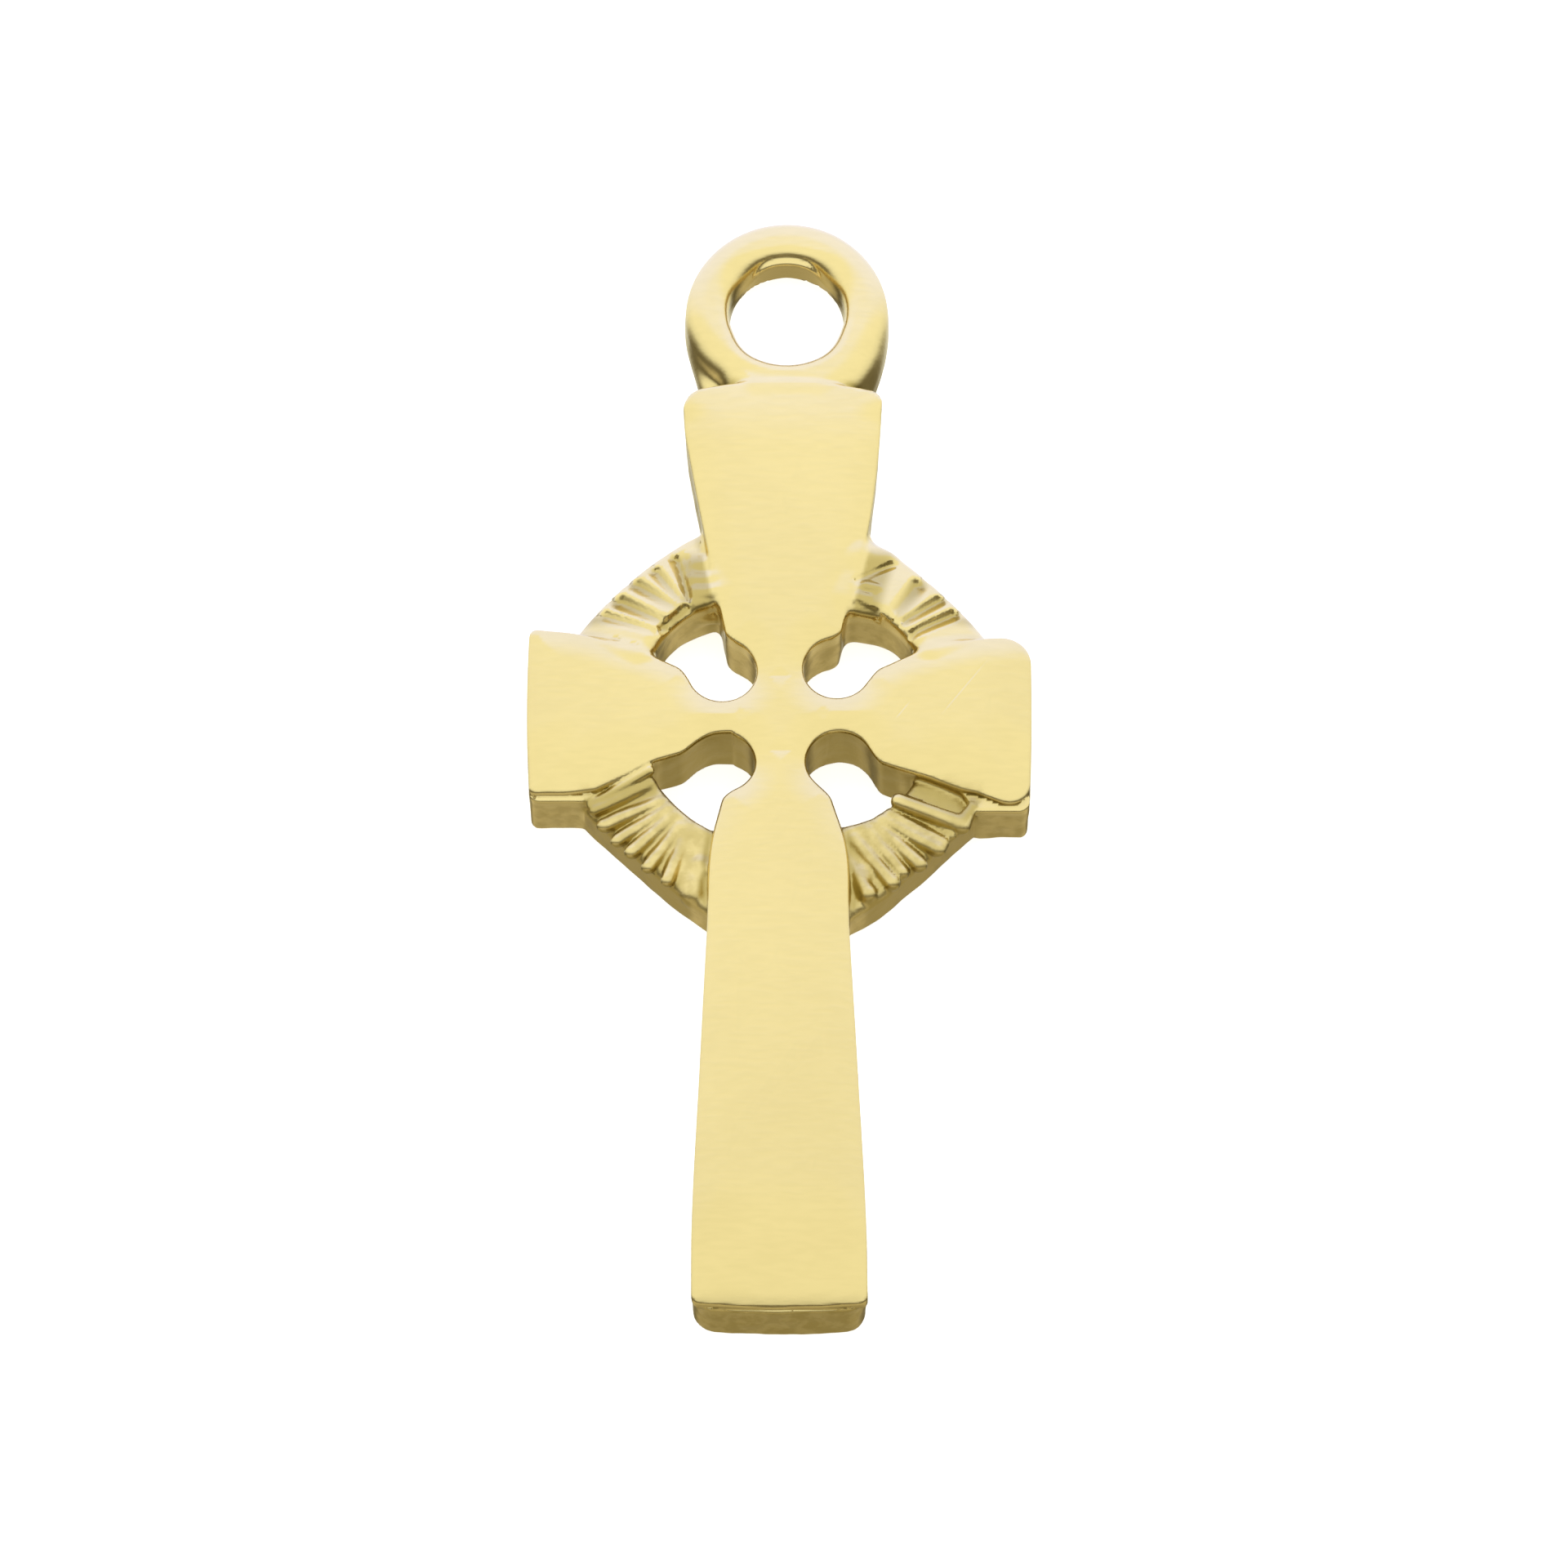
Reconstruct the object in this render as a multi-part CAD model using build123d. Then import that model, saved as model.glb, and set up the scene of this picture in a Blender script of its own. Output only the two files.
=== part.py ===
from build123d import *

import math
import os

# Celtic cross pendant, cast in one piece: a flared cross, a ribbed ring behind its arms and a drilled
# loop at its head. It lies on its back. X runs across the arms, +Y runs to the loop and +Z comes out of
# the front. The origin is the middle of the crossing, on the back. Lengths are millimetres.

quarter_turn = 90.0

# Cross
cross_thickness = 1.40
head_reach = 6.62
foot_reach = 11.88
arm_reach = 4.52
head_width = 3.58
foot_width = 3.20
arm_width = 3.42
root_overlap = 0.30
wall_draft = 2.0
front_edge_round = 0.10
back_edge_round = 0.07
flank_ease = 0.06
crown_ease = 0.60
ease_limit = 0.40
foot_roll_length = 0.95
foot_roll_radius = 1.20

# Round bays in the four corners of the crossing
bay_offset = 1.00
bay_radius = 0.60
bay_shoulder_round = 0.20

# Ring behind the arms
ring_outer_radius = 4.06
ring_flat_radius = 3.84
ring_inner_radius = 2.56
ring_height = 1.00
ring_rim_round = 0.20
ring_bore_round = 0.06

# Ribs cast across the front of the ring, spread like a fan in each open quarter
rib_count = 7
rib_radius = 0.15
rib_rise = 0.16
rib_overhang = 0.03
rib_inset = 0.06
rib_fan_reach = 1.85
rib_fan_angle = 84.0

# Loop at the head
loop_bore_radius = 1.04
loop_wall = 0.76
loop_depth = 1.20
loop_lift = 0.12
loop_sink = 0.11
loop_shift = 0.09
loop_front_round = 0.48
loop_back_round = 0.22
loop_bore_front_round = 0.12
loop_bore_back_round = 0.26

# Web of metal that joins the loop's foot to the head
web_width = 2.80
web_height = 0.80
web_depth = 1.10
web_round = 0.30

# Each arm points along its heading, in degrees from +X. Its reach is a share of the named reach, the
# ease of each tip corner is a share of half its width, and the bow of its tip is a share of its reach.
ARM_COLUMNS = ("heading", "reach", "corner_left", "corner_right", "bow")
ARM_SHARES = {
    "head": (90.0, 1.00, 0.22, 0.12, 0.014),
    "foot": (270.0, 1.00, 0.09, 0.09, 0.006),
    "left": (180.0, 1.01, 0.10, 0.10, 0.017),
    "right": (0.0, 0.99, 0.30, 0.15, 0.009),
}

# Half widths of each arm from root to tip, left and right as seen along its heading. Stations are
# shares of the reach, and half widths are shares of half the arm's width.
FLANK_COLUMNS = ("station", "left", "right")
FLANK_SHARES = {
    "head": ((0.136, 0.51, 0.51), (0.450, 0.72, 0.77), (0.785, 0.93, 0.96), (0.990, 1.00, 1.01)),
    "foot": ((0.076, 0.57, 0.63), (0.200, 0.69, 0.78), (0.600, 0.86, 0.94), (0.996, 0.98, 1.04)),
    "left": ((0.197, 0.32, 0.32), (0.498, 0.57, 0.70), (0.771, 0.90, 0.97), (0.988, 0.96, 1.04)),
    "right": ((0.201, 0.32, 0.32), (0.470, 0.69, 0.65), (0.805, 0.92, 1.02), (0.994, 0.94, 1.11)),
}
ARM_SIZES = {
    "head": (head_reach, head_width),
    "foot": (foot_reach, foot_width),
    "left": (arm_reach, arm_width),
    "right": (arm_reach, arm_width),
}

# Bay centres and radii by quarter, as shares of the bay offset and the bay radius.
BAY_COLUMNS = ("across", "along", "radius")
BAY_SHARES = {
    "upper_right": (0.98, 0.95, 0.98),
    "upper_left": (-1.06, 0.90, 1.00),
    "lower_left": (-1.06, -0.95, 0.96),
    "lower_right": (1.02, -0.93, 1.06),
}


def row(columns, values):
    """One row of a table as a dictionary by column."""
    return dict(zip(columns, values))


def round_corner(face, point, radius):
    """The face with its corner nearest this point rounded."""
    vertex = face.vertices().sort_by_distance(Vector(*point))[0]
    return fillet(vertex, radius)


def eased_line(corners):
    """Lines through the corners, each inner one eased by an arc that starts and ends its ease away."""
    edges = []
    here = corners[0][0]
    for (before, _), (corner, ease), (after, _) in zip(corners, corners[1:], corners[2:]):
        shorter = min((before - corner).length, (after - corner).length)
        eased = min(ease, shorter * ease_limit)
        start = corner + (before - corner).normalized() * eased
        end = corner + (after - corner).normalized() * eased
        edges += [Line(here, start), TangentArc(start, end, tangent=corner - before)]
        here = end
    return edges + [Line(here, corners[-1][0])]


def arm_outline(name):
    """The edges round one flared arm, drawn along +Y from the crossing's middle."""
    shape = row(ARM_COLUMNS, ARM_SHARES[name])
    named_reach, width = ARM_SIZES[name]
    reach = named_reach * shape["reach"]
    half = width / 2
    flanks = [row(FLANK_COLUMNS, values) for values in FLANK_SHARES[name]]
    left = [Vector(-half * flank["left"], reach * flank["station"]) for flank in flanks]
    right = [Vector(half * flank["right"], reach * flank["station"]) for flank in flanks]
    crown = Vector(0, right[-1].Y + reach * shape["bow"])
    root_left = Vector(left[0].X, -root_overlap)
    root_right = Vector(right[0].X, -root_overlap)
    corners = [(root_left, 0)]
    corners += [(point, reach * flank_ease) for point in left[:-1]]
    corners += [(left[-1], half * shape["corner_left"])]
    corners += [(crown, half * crown_ease)]
    corners += [(right[-1], half * shape["corner_right"])]
    corners += [(point, reach * flank_ease) for point in right[-2::-1]]
    corners += [(root_right, 0)]
    return eased_line(corners) + [Line(root_right, root_left)]


def arm(name):
    """One arm, its walls drafted so that it narrows from the front to the back, at its heading."""
    heading = row(ARM_COLUMNS, ARM_SHARES[name])["heading"]
    block = extrude(Face(Wire(arm_outline(name))), cross_thickness, dir=(0, 0, 1))
    walls = block.faces().sort_by(Axis.Z)[1:-1]
    front = Plane(origin=(0, 0, cross_thickness), z_dir=(0, 0, -1))
    return Rot(0, 0, heading - quarter_turn) * draft(walls, front, wall_draft)


def bay_place(bay):
    """Where the bay's middle stands on the back."""
    return Pos(bay_offset * bay["across"], bay_offset * bay["along"])


def bay_cut(bay):
    """The drafted round bay in one corner of the crossing, its seam turned to the open quarter."""
    radius = bay_radius * bay["radius"]
    widening = cross_thickness * math.tan(math.radians(wall_draft))
    outward = math.degrees(math.atan2(bay["along"], bay["across"]))
    cone = Cone(radius + widening, radius, cross_thickness, align=(Align.CENTER, Align.CENTER, Align.MIN))
    return bay_place(bay) * Rot(0, 0, outward) * cone


def shoulders(plate, bay):
    """The two upright edges where a bay meets the flanks of its arms."""
    middle = bay_place(bay) * Vertex(0, 0, cross_thickness / 2)
    uprights = [edge for edge in plate.edges() if edge.bounding_box().size.Z > cross_thickness / 2]
    return sorted(uprights, key=lambda edge: edge.distance_to(middle))[:2]


def cross_plate():
    """The cross with drafted walls and bays, before its edges are rounded."""
    plate = Part() + [arm(name) for name in ARM_SHARES]
    for values in BAY_SHARES.values():
        bay = row(BAY_COLUMNS, values)
        plate -= bay_cut(bay)
        plate = fillet(shoulders(plate, bay), bay_shoulder_round)
    return plate


def foot_roll_axis():
    """The middle of the cylinder that the front rolls over at the foot."""
    return Vector(0, foot_roll_length - foot_reach, cross_thickness - foot_roll_radius)


def foot_roll_crest():
    """A point on the rolled part of the front, on the way down to the foot."""
    turn = math.asin(foot_roll_length / foot_roll_radius) / 2
    return foot_roll_axis() + Vector(0, -math.sin(turn), math.cos(turn)) * foot_roll_radius


def foot_cut():
    """What is taken off so that the front rolls over at the foot."""
    middle = foot_roll_axis()
    block = Box(
        2 * foot_width,
        2 * foot_roll_length,
        2 * foot_roll_radius,
        align=(Align.CENTER, Align.MAX, Align.MIN),
    )
    roll = Cylinder(foot_roll_radius, 2 * foot_width, rotation=(0, quarter_turn, 0))
    return Pos(middle) * (block - roll)


def cross():
    """The cross as a plate with rounded edges, its front rolled over at the foot."""
    plate = cross_plate() - foot_cut()
    face = plate.faces().sort_by(Axis.Z)[-1]
    roll = plate.faces().sort_by_distance(foot_roll_crest())[0]
    rims = set(face.edges()) ^ set(roll.edges())
    plate = fillet(rims, front_edge_round)
    back = plate.faces().sort_by(Axis.Z)[0].outer_wire().edges()
    return fillet(back, back_edge_round)


def ring_point(radius, heading):
    """A point at this radius and heading, in degrees from +X."""
    angle = math.radians(heading)
    return (radius * math.cos(angle), radius * math.sin(angle))


def ring():
    """The ring behind the arms, a little flatter in the open quarters than at the arms."""
    quarters = [quarter_turn * index for index in range(4)]
    sides = [
        ThreePointArc(
            ring_point(ring_outer_radius, start),
            ring_point(ring_flat_radius, start + quarter_turn / 2),
            ring_point(ring_outer_radius, start + quarter_turn),
        )
        for start in quarters
    ]
    band = extrude(Face(Wire(sides)), ring_height)
    band = fillet(band.edges().group_by(Axis.Z)[0], ring_rim_round)
    band -= extrude(Circle(ring_inner_radius), ring_height)
    bore_wall = band.faces().filter_by(GeomType.CYLINDER).sort_by(SortBy.RADIUS)[0]
    return fillet(bore_wall.edges().filter_by(GeomType.CIRCLE), ring_bore_round)


def distance_to_radius(start, along, radius):
    """How far a ray goes from start before it is at this radius from the origin."""
    forward = start.dot(along)
    return -forward + math.sqrt(forward**2 - start.dot(start) + radius**2)


def rib(quarter, turn):
    """One round-ended rib across the ring, turned about the quarter's fan point."""
    direction = math.radians(quarter + turn)
    fan = Vector(*ring_point(rib_fan_reach, quarter))
    along = Vector(math.cos(direction), math.sin(direction))
    start = distance_to_radius(fan, along, ring_inner_radius + rib_inset + rib_radius)
    end = distance_to_radius(fan, along, ring_flat_radius + rib_overhang - rib_radius)
    height = ring_height + rib_rise - rib_radius
    place = Plane(
        origin=fan + along * start + Vector(0, 0, height),
        x_dir=Vector(0, 0, 1),
        z_dir=along,
    )
    length = end - start
    bar = Cylinder(rib_radius, length, align=(Align.CENTER, Align.CENTER, Align.MIN))
    return place * (bar + Sphere(rib_radius) + Pos(0, 0, length) * Sphere(rib_radius))


def ribs():
    """All the ribs, evenly spread over each open quarter."""
    step = rib_fan_angle / rib_count
    turns = [step * (index - (rib_count - 1) / 2) for index in range(rib_count)]
    quarters = [quarter_turn * (index + 1 / 2) for index in range(4)]
    return [rib(quarter, turn) for quarter in quarters for turn in turns]


def loop_ring():
    """The loop's ring about its own middle: one rounded section, turned."""
    outer_radius = loop_bore_radius + loop_wall
    rounds = (
        (loop_bore_radius, 0, loop_bore_back_round),
        (loop_bore_radius, loop_depth, loop_bore_front_round),
        (outer_radius, 0, loop_back_round),
        (outer_radius, loop_depth, loop_front_round),
    )
    section = Rectangle(loop_wall, loop_depth, align=Align.MIN)
    section = Plane.XZ * Pos(loop_bore_radius, 0) * section
    for across, height, radius in rounds:
        section = round_corner(section, (across, 0, height), radius)
    return revolve(section, Axis.Z)


def loop_web():
    """The web below the loop's middle, cut clear of the bore."""
    outer_radius = loop_bore_radius + loop_wall
    web = Box(web_width, web_height, web_depth, align=(Align.CENTER, Align.MIN, Align.MIN))
    web = fillet(web.edges().filter_by(Axis.Y).group_by(Axis.Z)[-1], web_round)
    mid_wall = extrude(Circle(loop_bore_radius + loop_wall / 2), loop_depth)
    return Pos(0, -outer_radius) * web - mid_wall


def loop():
    """The drilled loop, sunk a little into the head, with its web."""
    centre = head_reach - loop_sink + loop_bore_radius + loop_wall
    return Pos(loop_shift, centre, loop_lift) * (loop_ring() + loop_web())


def pendant():
    """Everything fused, as it is cast."""
    return cross() + ring() + ribs() + loop()


os.makedirs("parts", exist_ok=True)
export_step(pendant(), "parts/celtic_cross_pendant.step")
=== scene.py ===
import math
from itertools import product
from types import SimpleNamespace

import bpy
import numpy as np
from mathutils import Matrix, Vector


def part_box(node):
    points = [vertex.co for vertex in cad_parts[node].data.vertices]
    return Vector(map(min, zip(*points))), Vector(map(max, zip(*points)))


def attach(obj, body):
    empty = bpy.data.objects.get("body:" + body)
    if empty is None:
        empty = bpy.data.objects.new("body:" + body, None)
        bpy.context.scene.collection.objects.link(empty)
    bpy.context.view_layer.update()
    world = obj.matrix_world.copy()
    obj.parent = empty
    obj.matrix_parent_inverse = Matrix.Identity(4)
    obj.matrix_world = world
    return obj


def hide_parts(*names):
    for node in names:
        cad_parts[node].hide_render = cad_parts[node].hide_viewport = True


# The pendant as it leaves the polisher: a flared cross with rolled edges, a ring behind its arms with a
# fan of ribs in each quarter, and a loop drawn out of the head. Its shape is written as a depth below the
# skin, negative in the metal, and a mesh is drawn where that is zero. Depths are in millimetres, in the
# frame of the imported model.

bl_info = {
    "name": "Celtic cross pendant",
    "version": (1, 0, 0),
    "blender": (4, 5, 0),
    "location": "View3D > Sidebar > Pendant",
    "description": "Casts, polishes and lights a gold celtic cross pendant",
    "category": "Object",
}

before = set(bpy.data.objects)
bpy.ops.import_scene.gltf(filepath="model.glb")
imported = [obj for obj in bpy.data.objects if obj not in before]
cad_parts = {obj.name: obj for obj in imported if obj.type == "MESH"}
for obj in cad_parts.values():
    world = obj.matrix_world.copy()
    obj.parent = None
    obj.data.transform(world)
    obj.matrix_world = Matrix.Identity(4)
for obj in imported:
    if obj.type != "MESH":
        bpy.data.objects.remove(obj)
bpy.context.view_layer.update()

MM = 0.001
PENDANT = "celtic_cross_pendant"
LOW, HIGH = [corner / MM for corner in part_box(PENDANT)]

# Each arm's heading, in degrees from +X. The bow of its tip is a share of its reach, the rounds of its
# front's and its body's corners and the outer edge of a ledge below its front are shares of half its
# width, and the ledge at its tip is a share of the ledge inset. Left and right are as seen along it.
ARM_COLUMNS = "heading bow front_left front_right body_left body_right ledge_left ledge_right".split()
ARM_COLUMNS += ["ledge_tip"]
ARM_SHARES = {
    "head": (90.0, 0.040, 0.20, 0.12, 0.20, 0.12, 0.0, 0.0, 0.0),
    "foot": (270.0, 0.006, 0.10, 0.10, 0.26, 0.28, 0.0, 0.0, 1.0),
    "left": (180.0, 0.010, 0.10, 0.10, 0.11, 0.10, 0.98, 0.0, 0.0),
    "right": (0.0, 0.006, 0.32, 0.34, 0.32, 0.12, 0.0, 1.10, 0.0),
}

# Each arm's half widths, as shares of half its width, at stations that are shares of its reach.
FLANK_COLUMNS = ("station", "left", "right")
FLANK_SHARES = {
    "head": (
        (0.10, 0.46, 0.48), (0.33, 0.63, 0.67), (0.56, 0.79, 0.87), (0.73, 0.90, 0.95),
        (0.83, 0.96, 0.98), (0.99, 0.99, 1.01),
    ),
    "foot": (
        (0.08, 0.42, 0.55), (0.16, 0.60, 0.70), (0.20, 0.69, 0.77), (0.37, 0.76, 0.84),
        (0.60, 0.85, 0.92), (0.88, 0.95, 1.01), (1.00, 0.97, 1.02),
    ),
    "left": (
        (0.22, 0.30, 0.36), (0.40, 0.47, 0.57), (0.50, 0.56, 0.70), (0.63, 0.74, 0.82),
        (0.78, 0.915, 0.96), (0.95, 0.945, 1.02),
    ),
    "right": (
        (0.22, 0.36, 0.36), (0.42, 0.60, 0.60), (0.52, 0.73, 0.69), (0.63, 0.82, 0.775),
        (0.79, 0.91, 0.945), (0.95, 0.93, 1.12),
    ),
}

# Bay centres and radii by quarter, as shares of the bay offset and the bay radius.
BAY_COLUMNS = ("across", "along", "radius")
BAY_SHARES = {
    "upper_right": (0.98, 0.95, 0.98),
    "upper_left": (-1.06, 0.90, 1.00),
    "lower_left": (-1.06, -0.95, 0.96),
    "lower_right": (1.02, -0.93, 0.97),
}

# The ring's rim in the middle of each quarter, as a share of the flat radius.
RIM_SHARES = {"upper_right": 1.010, "upper_left": 1.030, "lower_left": 0.970, "lower_right": 0.980}

# The ring's bore, which isn't quite round: headings in degrees from +X, and the share of its radius there.
BORE_SHARES = (
    (35.0, 1.06), (44.0, 1.05), (60.0, 0.94), (118.0, 1.00), (132.0, 1.04), (150.0, 1.02),
    (215.0, 0.99), (240.0, 0.985), (297.0, 0.94), (310.0, 0.985), (322.0, 1.03),
)

# Places from the head to the loop's top, and the height of its crest at each, in millimetres.
CREST = ((6.3, 1.325), (6.8, 1.292), (7.2, 1.258), (7.7, 1.215), (8.5, 1.13), (9.3, 1.05), (10.2, 0.97))

# The ring's ribs and grooves: headings in degrees from +X, reaches as shares of the way from its bore to
# its flat radius, widths as shares of a rib's radius or half a groove's width, and rises as shares of a
# rib's rise or a groove's depth.
RIB_COLUMNS = "heading_in reach_in heading_out reach_out width_in width_out rise_in rise_out".split()
RIBS = (
    (204.8, 0.03, 206.0, 0.99, 0.8, 0.7, 0.9, 0.8),
    (208.6, 0.10, 208.2, 1.00, 1.0, 0.8, 0.4, 0.9),
    (216.5, 0.14, 213.2, 1.01, 0.8, 1.1, 0.2, 1.0),
    (221.1, 0.10, 218.9, 0.99, 0.8, 1.0, 0.1, 0.8),
    (224.4, 0.14, 224.2, 0.98, 0.8, 1.0, 0.1, 0.9),
    (229.2, 0.20, 230.6, 0.98, 0.7, 1.0, 0.1, 0.8),
    (233.4, 0.26, 237.3, 1.01, 0.7, 1.0, 0.0, 0.9),
    (241.7, 0.28, 245.0, 0.98, 1.3, 1.8, -0.2, 0.3),
    (321.2, 0.08, 326.8, 1.00, 1.1, 1.2, 0.9, 1.3),
    (326.8, 1.00, 332.5, 1.02, 1.2, 0.8, 1.3, 1.2),
    (322.7, 0.55, 323.2, 0.99, 0.6, 0.6, 0.0, 0.6),
    (315.6, 0.10, 320.0, 0.97, 0.9, 1.0, 0.3, 0.7),
    (312.2, 0.10, 317.6, 1.00, 1.0, 1.2, 0.3, 0.9),
    (309.0, 0.12, 310.8, 0.99, 0.8, 1.1, 0.1, 0.8),
    (304.6, 0.12, 305.4, 0.93, 0.9, 1.0, 0.1, 0.7),
    (298.2, 0.12, 301.6, 0.99, 0.9, 1.2, 0.2, 0.8),
    (292.8, 0.30, 294.0, 0.99, 0.9, 1.3, 0.0, 0.8),
)
GROOVES = (
    (143.3, 0.22, 145.8, 0.96, 0.6, 0.9, 0.3, 0.8),
    (137.9, 0.22, 139.8, 0.93, 0.8, 1.2, 0.5, 1.2),
    (130.9, 0.26, 132.9, 0.95, 0.8, 1.1, 0.4, 1.1),
    (127.7, 0.28, 126.4, 0.93, 0.7, 0.9, 0.4, 0.9),
    (124.6, 0.28, 119.9, 0.95, 0.6, 0.8, 0.4, 0.9),
    (46.0, 0.34, 48.7, 0.84, 1.3, 1.2, 0.6, 1.2),
    (41.3, 0.28, 41.0, 0.90, 0.7, 0.9, 0.7, 1.1),
    (35.6, 0.24, 35.2, 0.91, 0.7, 0.9, 0.7, 1.1),
)

# Lumps and dents that the caster left on the upper ring: two ends, the half width at each, and the height
# at each, below nothing for a dent, in millimetres in the frame.
MARK_COLUMNS = "place_in place_out width_in width_out height_in height_out".split()
MARKS = (
    ((1.22, 3.30), (1.92, 3.32), 0.44, 0.28, 0.13, 0.08),
    ((1.34, 2.74), (1.94, 3.12), 0.13, 0.12, -0.04, -0.06),
    ((1.50, 2.62), (1.68, 2.58), 0.15, 0.14, 0.07, 0.06),
    ((1.40, 2.40), (1.52, 2.37), 0.13, 0.12, 0.03, 0.03),
    ((1.30, 2.24), (1.66, 2.10), 0.14, 0.14, -0.04, -0.05),
    ((1.78, 1.93), (2.05, 1.66), 0.15, 0.12, -0.16, -0.12),
    ((-1.42, 3.30), (-1.36, 2.40), 0.38, 0.36, -0.04, -0.05),
    ((-1.47, 3.16), (-1.39, 3.16), 0.20, 0.20, 0.05, 0.05),
    ((-1.58, 2.81), (-1.24, 2.80), 0.17, 0.17, 0.04, 0.04),
    ((-1.50, 2.53), (-1.20, 2.52), 0.18, 0.18, 0.045, 0.045),
    ((-1.72, 3.26), (-1.66, 2.36), 0.17, 0.15, -0.06, -0.05),
    ((-2.14, 1.78), (-1.72, 2.20), 0.15, 0.15, -0.07, -0.12),
    ((-2.96, 1.58), (-2.90, 1.56), 0.08, 0.07, -0.02, -0.02),
    ((-2.66, 1.43), (-2.58, 1.41), 0.07, 0.06, -0.02, -0.02),
)

# Metal that the caster left, and small cuts: two ends, the radius at each and how softly it runs out, in
# millimetres in the frame.
BAR_COLUMNS = "place_in place_out radius_in radius_out blend".split()
LEFT_METAL = (
    ((-1.38, 2.32, 0.78), (-1.22, 2.29, 0.80), 0.17, 0.15, 0.12),
    ((-1.70, -2.15, 0.98), (-1.66, -2.23, 0.98), 0.11, 0.10, 0.12),
    ((-1.44, -2.84, 0.92), (-1.38, -2.96, 0.91), 0.13, 0.12, 0.12),
    ((1.46, -2.98, 0.90), (1.50, -3.06, 0.90), 0.10, 0.10, 0.12),
)
CUTS = (
    ((0.76, 9.66, 1.22), (0.86, 9.60, 1.21), 0.06, 0.05, 0.05),
    ((-0.72, 6.68, 1.455), (-0.58, 6.70, 1.455), 0.08, 0.07, 0.03),
    ((-1.10, 6.62, 1.43), (-0.98, 6.64, 1.43), 0.07, 0.06, 0.03),
    ((1.66, -10.95, 1.33), (1.46, -11.00, 1.43), 0.06, 0.05, 0.05),
)

# Patches of painted shade: in the corners beside the head and the arms, on the walls of the lower bays and
# the rim, and round the loop's hole. Each has how deep the shade is, and the spans over which it comes in,
# in millimetres past the front's outline, towards the head, sideways, from the crossing and from the loop's
# hole, or in how much the skin faces up. A span that runs the other way takes the shade out.
CORNER = (("past_front", 0.02, 0.14), ("past_front", 0.75, 0.40))
WALL = ("facing", 0.6, 0.3)
SHADE_PATCHES = {
    "beside_head": (0.6, *CORNER, ("headward", 1.7, 2.1), ("headward", 3.6, 3.1), ("facing", 0.1, 0.5)),
    "beside_arms": (0.6, *CORNER, ("headward", -0.9, -1.2), ("sideways", 1.9, 2.3), ("radius", 3.90, 3.89)),
    "low_bays": (0.75, WALL, ("headward", 0.0, -0.5), ("radius", 2.5, 2.2)),
    "low_rim": (0.75, WALL, ("headward", -0.5, -1.5), ("radius", 3.5, 3.7), ("past_front", 0.15, 0.40)),
    "loop_hole": (0.35, WALL, ("headward", 7.0, 7.4), ("from_hole", 1.30, 1.29)),
}
# How deep the painted shade is at the bottom of the upper ring's grooves and dents.
DENT_SHADE = 0.65

# The grid's finest step, in millimetres, and where along the pendant its step changes to a share of that:
# at the plain shaft, the ring, the head and the loop.
GRID_STEP = 0.052
GRID_STOPS = ((LOW.y + 0.9, 2.6), (-4.3, 1.0), (4.2, 1.8), (6.1, 1.1))

# How far from a groove, and from anything larger, its form is felt, in millimetres.
CLOSE = 0.3
WIDE = 0.6

# In millimetres: how far below the ledge the metal under the front goes, the box round the ring, how far
# the web stands inside the loop's rim, how far the step in the hole sinks beside the top, how soft a
# joint is at least, and how far the front may rise.
FACE_SINK = 0.1
RING_BOX = ((-4.1, -4.1), (4.1, 4.1))
WEB_INSET = 0.06
STEP_SINK = 0.3
LEAST_BLEND = 0.01
FRONT_LIMIT = 0.02
# As shares: a dent's half width on its foot side and on the other, and the step's edge and joint by width.
DENT_SIDES = (0.75, 1.25)
STEP_ROUND = 0.8
STEP_BLEND = 0.6
# The cast skin, in millimetres: how far below the front it starts, how much higher it starts in the lower
# quarters, over how much it comes in, and the heights of the filed and the cast ripples.
SKIN_START = 0.34
LOW_SKIN_RISE = 0.24
SKIN_SPAN = 0.20
FILED_HEIGHT = 0.0025
CAST_HEIGHT = 0.012
TINY = 1e-6


def amount(default, description, **kind):
    """A number that a user can change."""
    return bpy.props.FloatProperty(default=default, description=description, **kind)


def length(millimetres, description):
    """A size, kept in metres."""
    return amount(millimetres * MM, description, unit="LENGTH", precision=5)


def share(default, description):
    """A share from nothing to all."""
    return amount(default, description, min=0.0, max=1.0, subtype="FACTOR")


def angle(degrees, description):
    """An angle, kept in radians."""
    return amount(math.radians(degrees), description, subtype="ANGLE")


def colour(default, description):
    """A linear colour."""
    return bpy.props.FloatVectorProperty(
        default=default, description=description, min=0.0, max=2.0, size=3, subtype="COLOR"
    )


def labelled(group):
    """Gives each property of a group its name for the user, made from its name here."""
    for key, kept in group.__annotations__.items():
        kept.keywords["name"] = key.replace("_", " ").capitalize()
    return group


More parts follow.
